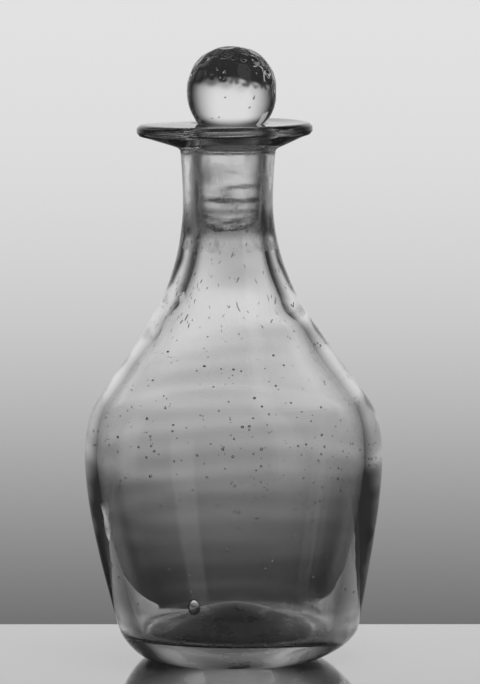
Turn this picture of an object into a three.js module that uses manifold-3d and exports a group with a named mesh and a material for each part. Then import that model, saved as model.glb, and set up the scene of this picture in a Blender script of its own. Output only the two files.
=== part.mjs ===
// A small free-blown glass decanter with its ball stopper. Millimetres, +Z up.
// The origin lies on the table under the middle of the belly. -Y is the front.
import * as THREE from "three";
import { mergeVertices } from "three/addons/utils/BufferGeometryUtils.js";
import Module from "manifold-3d";

const wasm = await Module();
wasm.setup();

// Vessel: heights above the table.
const vesselHeight = 173.3;
const bellyHeight = 65.6;
const heelHeight = 10;
const lowerCornerHeight = 50; // where the heel's taper, drawn on, would reach the belly's width
const upperCornerHeight = 78.5; // where the shoulder cone, drawn down, would reach it
const shoulderEndHeight = 84.5; // the round shoulder ends here and the straight cone starts
const coneTopHeight = 103;

// Vessel: outside sizes.
const bodyDiameter = 96.3;
const heelDiameter = 77.9;
const coneTopDiameter = 60.6;
const neckDiameter = 29.1;
const neckTopDiameter = 30.6;
const neckWaistDepth = 24.8; // below the rim, where the neck is slimmest
const restRingDiameter = 52.4; // outer edge of the flat ring that it stands on
const restRingWidth = 1.8;
const kickHeight = 5.3; // push-up under the base
const kickTopDiameter = 20.2; // where its flank, drawn on, would reach its top
const pontilScarDiameter = 12;
const pontilScarHeight = 0.7;

// Flange round the mouth.
const flangeDiameter = 57;
const flangeRimThickness = 4;
const flangeRootThickness = 8.15;
const flangeRootFillet = 1.6;
const flangeOffset = -1.05; // the disc sits a little to one side of the neck
const flangeTilt = 0.38; // rise of its right-hand edge, and fall of the left
const flangeWarp = 0.4; // its back edge also rises on the right and dips on the left
const mouthRound = 2.4;

// Walls, and the cavity's own heights.
const bellyWall = 4.8;
const shoulderWall = 4.2;
const heelWall = 7.1;
const floorHeight = 9; // where the wall and the floor, drawn on, would meet
const floorRingDiameter = 45; // the floor is straight inside this ring
const innerKickHeight = 16.4;
const innerKickTopDiameter = 28.3;
const innerHeelHeight = 12.6;
const innerConeTopHeight = 109.8;
const innerConeReach = 2.7; // how far the throat's curve follows the cone
const throatBelowPlug = 1.4; // below the plug's tip, where the bore starts to widen into the shoulder
const throatReach = 17.6; // how far the curve runs down from the throat
const throatFlare = 0.135; // widening of its start, for each millimetre down
const cavityOffset = -0.7; // the body's cavity from its axis, so the right-hand wall is the thicker
const cavityOffsetBlend = 8; // above and below the cone's top, over which that offset goes

// Second gather: its upper edge is a soft step round the shoulder, outside and in the cavity.
const outerRidge = { height: 112.3, step: 0.85, softness: 1.6, fade: 11 };
const innerRidge = { height: 113.7, step: 1.3, softness: 2.2, fade: 13.3 };
const ridgeTilt = -0.09; // fall of the step for each millimetre to the right

// Lean of the hand-made body: the resting ring, the heel and the neck, from the belly's middle.
const restLean = -0.7;
const footLean = 1.6;
const neckLean = -1.82;
const uprightAboveBelly = 15;
const boreOffset = 0.5; // the bore's axis from the neck's

// Stopper.
const plugTopDiameter = 20.15;
const plugTipDiameter = 18.5;
const plugDepth = 34.9; // tip below the vessel's rim
const seatDepth = 11.4; // the plug's widest ring below the rim
const tipChamferHeight = 5.2;
const tipEndDiameter = 10.9;
const tipEndTilt = 0.1;
const waistDiameter = 19.3;
const ballDiameter = 29;
const ballFullness = 2.15; // 2 is a true sphere, and more is squarer
const ballFootFlare = 1.39; // outside the waist, where the ball's underside starts
const waistLength = 1.47; // above the mouth's rounding
const ballOffset = 0.75; // to the right of the plug's axis
const ballBend = 5; // height above the waist over which the offset grows
const seatClearance = 0.35; // all round the plug at its widest ring
const tipClearance = 0.75; // all round the plug at its tip

// Hollow facets ground into the upper part of the ball.
const facetPitch = 5;
const facetDepth = 0.45;
const facetDepthSpread = 0.12;
const facetGrinderRadius = 8;
const facetRings = 5;
const facetAxisTilt = THREE.MathUtils.degToRad(12);

// How closely the round shapes are followed.
const roundSegments = 48;
const curveSteps = 6;
const stopperSegments = 36;
const stopperCurveSteps = 5;
const ballSteps = 12;
const grinderDetail = 4;

// How far each curve reaches towards its corner, from 0 (flat) to 1 (sharp).
const heelCorner = 0.4;
const softCorner = 0.6;
const shoulderCorner = 0.65;
const bodyCorner = 0.75;
const innerBodyCorner = 0.69;

const bodyRadius = bodyDiameter / 2;
const neckWaistHeight = vesselHeight - neckWaistDepth;
const flangeRootHeight = vesselHeight - flangeRootThickness;
const boreTopRadius = plugTopDiameter / 2 + seatClearance;
const boreTipRadius = plugTipDiameter / 2 + tipClearance;
const stopperX = neckLean + boreOffset;
const throatHeight = vesselHeight - plugDepth - throatBelowPlug;
const waistHeight = vesselHeight - mouthRound;
const ballRadius = ballDiameter / 2;
const ballFootRadius = waistDiameter / 2 + ballFootFlare;
const ballFootHeight = waistHeight + waistLength + ballFootFlare;
const ballFootDrop = ballRadius * (1 - (ballFootRadius / ballRadius) ** ballFullness) ** (1 / ballFullness);
const ballCentreHeight = ballFootHeight + ballFootDrop;
const ballUnderAngle = -Math.atan2(ballFootDrop, ballFootRadius);
const above = 5; // how far the cavity's cutter runs out past the mouth

const point = (radius, height) => new THREE.Vector2(radius, height);

// A point on the line through a and b, at a given radius or height.
function atRadius(a, b, radius) {
  return point(radius, a.y + ((b.y - a.y) * (radius - a.x)) / (b.x - a.x));
}

function atHeight(a, b, height) {
  return point(a.x + ((b.x - a.x) * (height - a.y)) / (b.y - a.y), height);
}

// Runs the path round a corner to the end point, leaving along one side and arriving along the other.
function turn(path, corner, end, reach) {
  const start = path.currentPoint;
  const first = start.clone().lerp(corner, reach);
  const second = end.clone().lerp(corner, reach);
  path.bezierCurveTo(first.x, first.y, second.x, second.y, end.x, end.y);
}

// The straight cone of the shoulder, as a pair of points, moved inwards by a wall's thickness.
function shoulderCone(wall) {
  const corner = point(bodyRadius, upperCornerHeight);
  const top = point(coneTopDiameter / 2, coneTopHeight);
  const along = top.clone().sub(corner).normalize();
  const inwards = point(-along.y, along.x).multiplyScalar(wall);
  return [corner.add(inwards), top.add(inwards)];
}

function outsideProfile() {
  const scarRadius = pontilScarDiameter / 2;
  const ringOuter = point(restRingDiameter / 2, 0);
  const ringInner = point(restRingDiameter / 2 - restRingWidth, 0);
  const heel = point(heelDiameter / 2, heelHeight);
  const lowerCorner = point(bodyRadius, lowerCornerHeight);
  const belly = point(bodyRadius, bellyHeight);
  const [upperCorner, coneTop] = shoulderCone(0);
  const neckWaist = point(neckDiameter / 2, neckWaistHeight);
  const neckTop = point(neckTopDiameter / 2, flangeRootHeight - flangeRootFillet);
  const rimRadius = flangeRimThickness / 2;
  const rimCentre = point(flangeDiameter / 2 - rimRadius, vesselHeight - rimRadius);
  const underRim = point(rimCentre.x, vesselHeight - flangeRimThickness);
  const flangeRoot = point(neckTopDiameter / 2, flangeRootHeight);
  const underside = flangeRoot.clone().lerp(underRim, (2 * flangeRootFillet) / flangeDiameter);

  const path = new THREE.Path();
  path.moveTo(0, kickHeight - pontilScarHeight);
  path.lineTo(scarRadius, kickHeight - pontilScarHeight);
  path.lineTo(scarRadius + pontilScarHeight, kickHeight);
  turn(path, point(kickTopDiameter / 2, kickHeight), ringInner, softCorner);
  path.lineTo(ringOuter.x, ringOuter.y);
  turn(path, atHeight(heel, lowerCorner, 0), heel, heelCorner);
  turn(path, lowerCorner, belly, bodyCorner);
  turn(path, upperCorner, atHeight(upperCorner, coneTop, shoulderEndHeight), shoulderCorner);
  path.lineTo(coneTop.x, coneTop.y);
  turn(path, atRadius(upperCorner, coneTop, neckWaist.x), neckWaist, shoulderCorner);
  turn(path, point(neckWaist.x, (neckWaist.y + neckTop.y) / 2), neckTop, softCorner);
  turn(path, flangeRoot, underside, softCorner);
  path.lineTo(underRim.x, underRim.y);
  path.absarc(rimCentre.x, rimCentre.y, rimRadius, -Math.PI / 2, Math.PI / 2, false);
  path.lineTo(0, vesselHeight);
  return path.getPoints(curveSteps);
}

function cavityProfile() {
  const lowerCorner = point(bodyRadius - bellyWall, lowerCornerHeight);
  const outerHeel = point(heelDiameter / 2, heelHeight);
  const outerWall = atHeight(outerHeel, point(bodyRadius, lowerCornerHeight), innerHeelHeight);
  const heel = point(outerWall.x - heelWall, innerHeelHeight);
  const foot = atHeight(heel, lowerCorner, floorHeight);
  const kickTop = point(innerKickTopDiameter / 2, innerKickHeight);
  const belly = point(bodyRadius - bellyWall, bellyHeight);
  const [coneFoot, coneEnd] = shoulderCone(shoulderWall);
  const upperCorner = atRadius(coneFoot, coneEnd, belly.x);
  const coneStart = atHeight(coneFoot, coneEnd, shoulderEndHeight - shoulderWall / 3);
  const coneTop = atHeight(coneFoot, coneEnd, innerConeTopHeight);
  const upCone = coneTop.clone().sub(coneStart).setLength(innerConeReach).add(coneTop);
  const throat = point(boreTipRadius, throatHeight);
  const downThroat = point(throat.x + throatReach * throatFlare, throat.y - throatReach);
  const seat = point(boreTopRadius, vesselHeight - seatDepth);

  const path = new THREE.Path();
  path.moveTo(0, innerKickHeight);
  turn(path, kickTop, atRadius(foot, kickTop, floorRingDiameter / 2), softCorner);
  turn(path, foot, heel, softCorner);
  turn(path, lowerCorner, belly, innerBodyCorner);
  turn(path, upperCorner, coneStart, shoulderCorner);
  path.lineTo(coneTop.x, coneTop.y);
  path.bezierCurveTo(upCone.x, upCone.y, downThroat.x, downThroat.y, throat.x, throat.y);
  path.lineTo(seat.x, seat.y);
  path.lineTo(seat.x, vesselHeight - mouthRound);
  path.absarc(seat.x + mouthRound, vesselHeight - mouthRound, mouthRound, Math.PI, Math.PI / 2, true);
  path.lineTo(seat.x + mouthRound, vesselHeight + above);
  path.lineTo(0, vesselHeight + above);
  return path.getPoints(curveSteps);
}

// Distance from the ball's centre to its skin at an angle above the level.
function ballReach(angle) {
  const across = Math.abs(Math.cos(angle)) ** ballFullness;
  const up = Math.abs(Math.sin(angle)) ** ballFullness;
  return ballRadius / (across + up) ** (1 / ballFullness);
}

function ballPoint(angle) {
  const reach = ballReach(angle);
  return point(reach * Math.cos(angle), ballCentreHeight + reach * Math.sin(angle));
}

function stopperProfile() {
  const plugTop = point(plugTopDiameter / 2, vesselHeight - seatDepth);
  const plugTip = point(plugTipDiameter / 2, vesselHeight - plugDepth + tipChamferHeight);
  const tipEnd = point(tipEndDiameter / 2, vesselHeight - plugDepth);
  const ballFoot = point(ballFootRadius, ballFootHeight);
  const waist = point(waistDiameter / 2, waistHeight);

  const path = new THREE.Path();
  path.moveTo(0, tipEnd.y);
  path.lineTo(tipEnd.x, tipEnd.y);
  turn(path, atHeight(plugTop, plugTip, plugTip.y - tipChamferHeight / 2), plugTip, softCorner);
  path.lineTo(plugTop.x, plugTop.y);
  path.lineTo(waist.x, waist.y);
  turn(path, point(waist.x, waist.y + waistLength), ballFoot, softCorner);
  const profile = path.getPoints(stopperCurveSteps);
  for (let i = 1; i < ballSteps; i += 1) {
    profile.push(ballPoint(THREE.MathUtils.lerp(ballUnderAngle, Math.PI / 2, i / ballSteps)));
  }
  profile.push(point(0, ballCentreHeight + ballRadius));
  return profile;
}

// Revolves a profile round Z, then moves each point by a given rule.
function revolve(profile, segments, move) {
  const geometry = new THREE.LatheGeometry(profile, segments).rotateX(Math.PI / 2);
  const position = geometry.getAttribute("position");
  const vertex = new THREE.Vector3();
  for (let i = 0; i < position.count; i += 1) {
    vertex.fromBufferAttribute(position, i);
    move(vertex);
    position.setXYZ(i, vertex.x, vertex.y, vertex.z);
  }
  return solidOf(geometry);
}

function solidOf(geometry) {
  geometry.deleteAttribute("normal");
  geometry.deleteAttribute("uv");
  const merged = mergeVertices(geometry, 1e-4);
  const vertProperties = merged.getAttribute("position").array;
  const triVerts = new Uint32Array(merged.index.array);
  return new wasm.Manifold(new wasm.Mesh({ numProp: 3, vertProperties, triVerts }));
}

function geometryOf(solid) {
  const mesh = solid.getMesh();
  const geometry = new THREE.BufferGeometry();
  geometry.setAttribute("position", new THREE.BufferAttribute(mesh.vertProperties, mesh.numProp));
  geometry.setIndex(new THREE.BufferAttribute(mesh.triVerts, 1));
  geometry.computeVertexNormals();
  return geometry;
}

// Sideways lean of the body's centre line at a height.
function leanAt(height) {
  const { clamp, smoothstep } = THREE.MathUtils;
  const foot = 1 - clamp((height - heelHeight) / (bellyHeight - heelHeight), 0, 1);
  const rest = 1 - clamp(height / heelHeight, 0, 1);
  const neck = smoothstep(height, bellyHeight + uprightAboveBelly, neckWaistHeight);
  return footLean * foot * foot + (restLean - footLean) * rest * rest + neckLean * neck;
}

// The step of the second gather: full just under its tilted edge, and gone some way below it.
function addRidge(vertex, ridge) {
  const { smoothstep } = THREE.MathUtils;
  const radius = Math.hypot(vertex.x, vertex.y);
  if (radius === 0) return;
  const below = ridge.height + ridgeTilt * vertex.x - vertex.z;
  const edge = smoothstep(below, -ridge.softness, ridge.softness);
  const fade = 1 - smoothstep(below, ridge.softness, ridge.fade);
  const scale = 1 + (ridge.step * edge * fade) / radius;
  vertex.x *= scale;
  vertex.y *= scale;
}

// The flange is a hand-spun disc: off the neck's centre, tilted, and warped along its back edge.
function bendFlange(vertex) {
  const { smoothstep } = THREE.MathUtils;
  const radius = Math.hypot(vertex.x, vertex.y);
  const out = smoothstep(radius, neckTopDiameter / 2, flangeDiameter / 2);
  if (vertex.z < flangeRootHeight || out === 0) return;
  const back = Math.max(0, vertex.y) / radius;
  const side = vertex.x / radius;
  const steepest = 2 / (3 * Math.sqrt(3)); // the largest value of side * back * back
  vertex.z += out * side * (flangeTilt + (flangeWarp * back * back) / steepest);
  vertex.x += flangeOffset * out;
}

function makeVessel() {
  const { smoothstep } = THREE.MathUtils;
  const outside = revolve(outsideProfile(), roundSegments, (vertex) => {
    addRidge(vertex, outerRidge);
    bendFlange(vertex);
    vertex.x += leanAt(vertex.z);
  });
  const cavity = revolve(cavityProfile(), roundSegments, (vertex) => {
    addRidge(vertex, innerRidge);
    const bore = smoothstep(vertex.z, coneTopHeight, throatHeight);
    const neck = smoothstep(vertex.z, coneTopHeight - cavityOffsetBlend, coneTopHeight + cavityOffsetBlend);
    vertex.x += leanAt(vertex.z) + boreOffset * bore + cavityOffset * (1 - neck);
  });
  return geometryOf(outside.subtract(cavity));
}

// Directions of the facets: rings about an axis that is tilted to the right.
function facetDirections() {
  const directions = [];
  const tilt = new THREE.Matrix4().makeRotationY(facetAxisTilt);
  for (let ring = 0; ring < facetRings; ring += 1) {
    const polar = (ring * facetPitch) / ballRadius;
    const round = (2 * Math.PI * ballRadius * Math.sin(polar)) / facetPitch;
    const count = Math.max(1, Math.round(round));
    for (let i = 0; i < count; i += 1) {
      const azimuth = (2 * Math.PI * (i + (ring % 2) / 2)) / count;
      const direction = new THREE.Vector3(
        Math.sin(polar) * Math.cos(azimuth),
        Math.sin(polar) * Math.sin(azimuth),
        Math.cos(polar),
      );
      directions.push(direction.applyMatrix4(tilt));
    }
  }
  return directions;
}

function makeStopper() {
  const ballCentre = new THREE.Vector3(ballOffset, 0, ballCentreHeight);
  const tipTop = vesselHeight - plugDepth + tipChamferHeight;
  let solid = revolve(stopperProfile(), stopperSegments, (vertex) => {
    const ball = THREE.MathUtils.smoothstep(vertex.z, waistHeight, waistHeight + ballBend);
    const tip = 1 - THREE.MathUtils.smoothstep(vertex.z, tipTop - tipChamferHeight, tipTop);
    vertex.z += tipEndTilt * vertex.x * tip;
    vertex.x += ballOffset * ball;
  });
  facetDirections().forEach((direction, i) => {
    const spread = facetDepthSpread * (2 * THREE.MathUtils.seededRandom(i + 1) - 1);
    const skin = ballReach(Math.asin(direction.z));
    const reach = skin + facetGrinderRadius - facetDepth - spread;
    const centre = direction.clone().multiplyScalar(reach).add(ballCentre);
    const grinder = new THREE.IcosahedronGeometry(facetGrinderRadius, grinderDetail);
    solid = solid.subtract(solidOf(grinder.translate(centre.x, centre.y, centre.z)));
  });
  return geometryOf(solid);
}

const glass = { color: 0xb9beba, roughness: 0.03, metalness: 0, transparent: true, opacity: 0.35 };

const decanter = new THREE.Group();

const vessel = new THREE.Mesh(makeVessel(), new THREE.MeshStandardMaterial(glass));
vessel.name = "vessel";
decanter.add(vessel);

const stopper = new THREE.Mesh(makeStopper(), new THREE.MeshStandardMaterial(glass));
stopper.name = "stopper";
stopper.position.x = stopperX;
decanter.add(stopper);

export default decanter;
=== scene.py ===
"""A small free-blown glass decanter and its ball stopper, on a pale table before a graded backdrop."""
import math
import random

import bmesh
import bpy
import numpy as np
from mathutils import Matrix, Vector


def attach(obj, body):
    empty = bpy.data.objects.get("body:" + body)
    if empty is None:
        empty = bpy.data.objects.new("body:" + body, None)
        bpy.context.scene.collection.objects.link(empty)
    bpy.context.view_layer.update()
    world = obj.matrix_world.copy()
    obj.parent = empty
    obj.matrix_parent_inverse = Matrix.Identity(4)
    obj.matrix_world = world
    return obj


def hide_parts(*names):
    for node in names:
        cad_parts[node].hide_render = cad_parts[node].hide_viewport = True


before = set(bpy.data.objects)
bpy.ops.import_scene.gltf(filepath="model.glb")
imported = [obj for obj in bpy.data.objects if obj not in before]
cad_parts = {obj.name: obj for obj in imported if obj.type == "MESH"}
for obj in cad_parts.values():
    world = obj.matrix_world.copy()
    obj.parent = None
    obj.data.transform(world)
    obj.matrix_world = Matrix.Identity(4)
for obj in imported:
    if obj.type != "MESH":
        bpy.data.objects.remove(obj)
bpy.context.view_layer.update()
scene = bpy.context.scene
MM = 0.001
TINY = 1e-9

# Vessel: heights above the table and outside sizes, in millimetres.
VESSEL_HEIGHT = 173.3
BELLY_HEIGHT = 65.6
HEEL_HEIGHT = 10
LOWER_CORNER_HEIGHT = 50
UPPER_CORNER_HEIGHT = 78.5
SHOULDER_END_HEIGHT = 84.5
CONE_TOP_HEIGHT = 103
BODY_DIAMETER = 96.3
HEEL_DIAMETER = 77.9
CONE_TOP_DIAMETER = 60.6
NECK_DIAMETER = 29.1
NECK_TOP_DIAMETER = 30.6
NECK_WAIST_DEPTH = 24.8
REST_RING_DIAMETER = 52.4
REST_RING_WIDTH = 1.8
KICK_HEIGHT = 5.3
KICK_TOP_DIAMETER = 20.2
SCAR_DIAMETER = 12
SCAR_HEIGHT = 0.7

# Flange round the mouth.
FLANGE_DIAMETER = 57
FLANGE_RIM_THICKNESS = 4
FLANGE_ROOT_THICKNESS = 8.15
FLANGE_ROOT_FILLET = 1.6
FLANGE_OFFSET = -1.05
FLANGE_TILT = 0.38
FLANGE_WARP = 0.4
MOUTH_ROUND = 2.4
MOUTH_BLEND = 4

# Walls and the cavity's own heights.
BELLY_WALL = 4.8
SHOULDER_WALL = 4.2
HEEL_WALL = 7.1
FLOOR_HEIGHT = 9
FLOOR_RING_DIAMETER = 62
INNER_KICK_HEIGHT = 17.5
INNER_KICK_TOP_DIAMETER = 12
INNER_HEEL_HEIGHT = 12.6
INNER_CONE_TOP_HEIGHT = 109.8
INNER_CONE_REACH = 2.7
THROAT_FLARE = 0.135
THROAT_REACH = 17.6
CAVITY_OFFSET = -0.7
CAVITY_OFFSET_BLEND = 8

# Second gather: its upper edge is a soft step round the shoulder.
RIDGE_HEIGHT = 112.3
RIDGE_STEP = 0.5
RIDGE_SOFTNESS = 3.4
RIDGE_FADE = 11
RIDGE_TILT = -0.09
INNER_RIDGE_HEIGHT = 113.7
INNER_RIDGE_STEP = 0.7
INNER_RIDGE_SOFTNESS = 4
INNER_RIDGE_FADE = 13.3

# Lean of the hand-made body.
REST_LEAN = -0.7
FOOT_LEAN = 1.6
NECK_LEAN = -1.82
UPRIGHT_ABOVE_BELLY = 15
BORE_OFFSET = 0.5

# Stopper.
PLUG_TOP_DIAMETER = 20.15
PLUG_TIP_DIAMETER = 18.5
PLUG_DEPTH = 34.9
THROAT_BELOW_PLUG = 1.4
SEAT_DEPTH = 11.4
TIP_CHAMFER_HEIGHT = 5.2
TIP_END_DIAMETER = 10.9
TIP_END_TILT = 0.1
WAIST_DIAMETER = 19.3
WAIST_LENGTH = 1.47
BALL_FOOT_FLARE = 1.39
BALL_DIAMETER = 29
BALL_FULLNESS = 2.15
BALL_OFFSET = 0.75
BALL_BEND = 5
SEAT_CLEARANCE = 0.35
TIP_CLEARANCE = 0.75

# Hollow facets ground into the upper part of the ball.
FACET_PITCH = 5
FACET_DEPTH = 0.32
FACET_DEPTH_SPREAD = 0.1
FACET_GRINDER_RADIUS = 8
FACET_RINGS = 5
FACET_AXIS_TILT = math.radians(12)
FACET_EDGE_ROUND = 0.22

# How far each curve reaches towards its corner, from 0 (flat) to 1 (sharp).
HEEL_CORNER = 0.4
SOFT_CORNER = 0.6
SHOULDER_CORNER = 0.65
BODY_CORNER = 0.75
INNER_BODY_CORNER = 0.69

# How closely the visible surfaces are followed.
CURVE_STEPS = 40
ROW_SPACING = 1.45
VESSEL_SEGMENTS = 192
STOPPER_SEGMENTS = 224
PLUG_SPACING = 0.6
BALL_ROWS = 120
SEED_SUBDIVISIONS = 2

# Reams: faint waves that run round the blown wall, nearly level.
REAM_COUNT = 14
REAM_DEPTH = 0.022
REAM_LENGTHS = (5, 16)
REAM_TURNS = 2
REAM_PATCHES = (1, 3)
REAM_START_HEIGHTS = (4, 16)
REAM_FADE = 12

# Bumps on the plug's tip, which was cracked off and ground by hand.
TIP_BUMP = 0.5
TIP_BUMP_COUNT = 26
TIP_BUMP_PITCHES = (1.1, 4.5)
TIP_BUMP_TWIST = 2
TIP_BUMP_RISE = 0.8
TIP_BUMP_START = 0.5
TIP_BUMP_FADE = 1
TIP_MIDDLE_RADIUS = 4

# Seeds: small bubbles shut in the glass. Heights are the lowest, the highest and the most usual.
SEED_SIZE_POWER = 1.8
SEED_MARGIN = 0.3
BODY_SEEDS = 430
BODY_SEED_RADII = (0.18, 0.48)
BODY_SEED_HEIGHTS = (16, 114, 62)
BODY_SEED_STRETCH = (1, 1.35)
BODY_SEED_SLANTS = (math.radians(45), math.radians(105))
NECK_SEEDS = 130
NECK_SEED_RADII = (0.1, 0.24)
NECK_SEED_HEIGHTS = (98, 158, 114)
NECK_SEED_STRETCH = (2.5, 7)
NECK_SEED_SLANTS = (math.radians(10), math.radians(32))
BIG_BUBBLE_ANGLE = math.radians(-110)
BIG_BUBBLE_HEIGHT = 22
BIG_BUBBLE_AXES = (0.45, 2.05, 2.85)
PLUG_SEEDS = 10
PLUG_SEED_STRETCH = (1.2, 2.6)
PLUG_SEED_FOOT = 4
BALL_SEEDS = 12
BALL_SEED_STRETCH = 1.1
BALL_SEED_REACH = 8
STOPPER_SEED_RADII = (0.16, 0.3)
STOPPER_SEED_OFFSETS = (2, 7.5)
STOPPER_SEED_LEAN = (0.4, 0, 0.9)

# Starting numbers of the random draws.
OUTER_REAM_DRAW = 3
INNER_REAM_DRAW = 5
TIP_DRAW = 11
VESSEL_SEED_DRAW = 7
STOPPER_SEED_DRAW = 19

# Glass. Sizes are in millimetres, and noises are a scale and a detail.
CLEAR = (1, 1, 1, 1)
GLASS_GREY = (0.35, 0.35, 0.35, 1)
GLASS_IOR = 1.5
AIR_IN_GLASS_IOR = 1 / GLASS_IOR
EDGE_WIDTH = 1
VESSEL_ABSORPTION = 5
VESSEL_GRAIN = (60, 3)
VESSEL_GRAIN_HEIGHT = 0.02
STOPPER_ABSORPTION = 1
STOPPER_GRAIN = (90, 3)
STOPPER_GRAIN_HEIGHT = 0.01

# Haze over the floor inside.
HAZE_TOP = 18
HAZE_RADIUS = 31
HAZE_FADE = 3
HAZE_SLOPE = 0.35
HAZE_FLOOR = 15
FLOOR_MOTTLE = (130, 3)
MOTTLE_RANGE = (0.35, 0.65)
FLOOR_ROUGHNESS = (0.2, 0.4)

# Hollow under the base: worn rough by the pontil, and coloured near black as painted shade for the shadow
# under the decanter.
PONTIL_PATCHES = (45, 6)
PONTIL_PAINTED_SHADE_RANGE = (0.42, 0.66)
PONTIL_SHADE_DARK = (0.01, 0.01, 0.01, 1)
PONTIL_SHADE_PALE = (0.08, 0.08, 0.08, 1)
PONTIL_WEAR_RANGE = (0.4, 0.7)
PONTIL_ROUGHNESS = (0.9, 0.6)
PONTIL_BUMP_HEIGHT = 0.3

# Ground surface and dirt of the plug.
GROUND_TOP = 161
GROUND_STREAK = (1, 1, 5)
GROUND_MARKS = (70, 6)
GROUND_ROUGHNESS = (0.1, 0.4)
SMEAR_HEIGHT = 149
SMEAR_WIDTH = 2
TIP_DIRT_HEIGHTS = (139, 146)
TIP_SPECKS = (700, 4)
TIP_SPECK_RANGE = (0.5, 0.62)
PLUG_DIRT = (0.12, 0.12, 0.12, 1)
PLUG_DIRT_RANGE = (0.56, 0.72)
DIRT_REACH = 0.12

# Ground surface and dirt of the bore.
BORE_MASK_RADIUS = 12
BORE_GROUND_FOOT = 131.8
BORE_STREAK = (1, 1, 0.4)
BORE_MARKS = (300, 5)
BORE_MARK_RANGE = (0.3, 0.7)
BORE_ROUGHNESS = (0.15, 0.4)
# This grey is the bore's dirt and also the painted shade of the flange's rim and the foot.
DIRT_AND_PAINTED_SHADE_TONE = (0.5, 0.5, 0.5, 1)
BORE_DIRT_RANGE = (0.55, 0.75)

# Painted shade: the flange's rim and the foot are tinted darker, as thick glass looks, but not the heel.
FLANGE_PAINTED_SHADE = 0.9
FLANGE_PAINTED_SHADE_RADII = (16, 20)
FOOT_PAINTED_SHADE = 0.9
FOOT_PAINTED_SHADE_HEIGHTS = (14, 36)
HEEL_CLEAR_HEIGHTS = (16, 19)

# Camera: the photograph's place and angle of view, in metres and radians.
IMAGE_HEIGHT = 684
SENSOR = 36
FOCAL_PIXELS = 4842
CAMERA_PLACE = (0, -1.556, 0.2604)
CAMERA_PITCH = math.radians(-5.79)
CAMERA_YAW = math.radians(-0.076)

# Backdrop, in metres.
BACKDROP_RADIUS = 3.2
BACKDROP_TOP = 2.6
BACKDROP_FOOT = -1.7
BACKDROP_ROW_SPACING = 0.05
BACKDROP_SEGMENTS = 96

# Its light. Bearings are seen from above, from straight behind the decanter towards the right.
BACKDROP_PALE = 0.78
GLOW_MIDDLE_HEIGHT = -0.34
GLOW_SOFTNESS = 0.125
GLOW_END_HEIGHTS = (1.3, 2.3)
CEILING_SHARE = 0.15
LEAST_GLOW = 0.025
DARKENING_BEARINGS = (math.radians(10), math.radians(56))
DARK_TONE = 0.03
FRONT_BEARINGS = (math.radians(100), math.radians(120))
FRONT_TONE = 0.12
SIDE_PANEL_BEARING = math.radians(-90)
SIDE_PANEL_HALF_WIDTHS = (math.radians(7), math.radians(11))
SIDE_PANEL_TONE = 0.5
BACK_PANEL_BEARING = math.radians(-45)
BACK_PANEL_HALF_WIDTHS = (math.radians(7), math.radians(9))
BACK_PANEL_LOW_HEIGHTS = (-1.1, -0.8)
BACK_PANEL_HIGH_HEIGHTS = (1.3, 1.45)
FRONT_PANEL_BEARING = math.radians(135)
FRONT_PANEL_HALF_WIDTHS = (math.radians(9), math.radians(13))
PANEL_TONE = 0.45

# Lamp, in metres and watts.
LAMP_POWER = 12
LAMP_SIZE = 1.4
LAMP_PLACE = (0.3, -0.4, 2.2)

# Table, in metres.
TABLE_HALF_WIDTH = 0.6
TABLE_BACK = 0.077
TABLE_FRONT = -0.6
TABLE_THICKNESS = 0.03
TABLE_EDGE_ROUND = 0.013
TABLE_EDGE_SEGMENTS = 10
TABLE_COLOUR = (0.45, 0.45, 0.45, 1)
TABLE_ROUGHNESS = 0.04
TABLE_IOR = 1.5
TABLE_COAT = 0.65
TABLE_COAT_ROUGHNESS = 0.02

# How many times light is followed from surface to surface.
ALL_BOUNCES = 40
GLASS_BOUNCES = 36
GLOSS_BOUNCES = 12
CLEAR_BOUNCES = 16

BODY_RADIUS = BODY_DIAMETER / 2
NECK_WAIST_HEIGHT = VESSEL_HEIGHT - NECK_WAIST_DEPTH
FLANGE_ROOT_HEIGHT = VESSEL_HEIGHT - FLANGE_ROOT_THICKNESS
BORE_TOP_RADIUS = PLUG_TOP_DIAMETER / 2 + SEAT_CLEARANCE
BORE_TIP_RADIUS = PLUG_TIP_DIAMETER / 2 + TIP_CLEARANCE
STOPPER_X = NECK_LEAN + BORE_OFFSET
SEAT_HEIGHT = VESSEL_HEIGHT - SEAT_DEPTH
TIP_HEIGHT = VESSEL_HEIGHT - PLUG_DEPTH
TIP_TOP_HEIGHT = TIP_HEIGHT + TIP_CHAMFER_HEIGHT
THROAT_HEIGHT = TIP_HEIGHT - THROAT_BELOW_PLUG
REST_RING_INNER_RADIUS = REST_RING_DIAMETER / 2 - REST_RING_WIDTH
WAIST_HEIGHT = VESSEL_HEIGHT - MOUTH_ROUND
MOUTH_RADIUS = BORE_TOP_RADIUS + MOUTH_ROUND
BALL_RADIUS = BALL_DIAMETER / 2
BALL_FOOT_RADIUS = WAIST_DIAMETER / 2 + BALL_FOOT_FLARE
BALL_FOOT_HEIGHT = WAIST_HEIGHT + WAIST_LENGTH + BALL_FOOT_FLARE
BALL_FOOT_DROP = BALL_RADIUS * (1 - (BALL_FOOT_RADIUS / BALL_RADIUS) ** BALL_FULLNESS) ** (1 / BALL_FULLNESS)
BALL_CENTRE_HEIGHT = BALL_FOOT_HEIGHT + BALL_FOOT_DROP
BALL_UNDER_ANGLE = -math.atan2(BALL_FOOT_DROP, BALL_FOOT_RADIUS)


# Outlines: lists of (radius, height) points.
def point(radius, height):
    return np.array((radius, height), dtype=float)


def lerp(a, b, share):
    return a + (b - a) * share


def at_radius(a, b, radius):
    """The point of the line through a and b at a radius."""
    return point(radius, a[1] + (b[1] - a[1]) * (radius - a[0]) / (b[0] - a[0]))


def at_height(a, b, height):
    """The point of the line through a and b at a height."""
    return point(a[0] + (b[0] - a[0]) * (height - a[1]) / (b[1] - a[1]), height)


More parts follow.
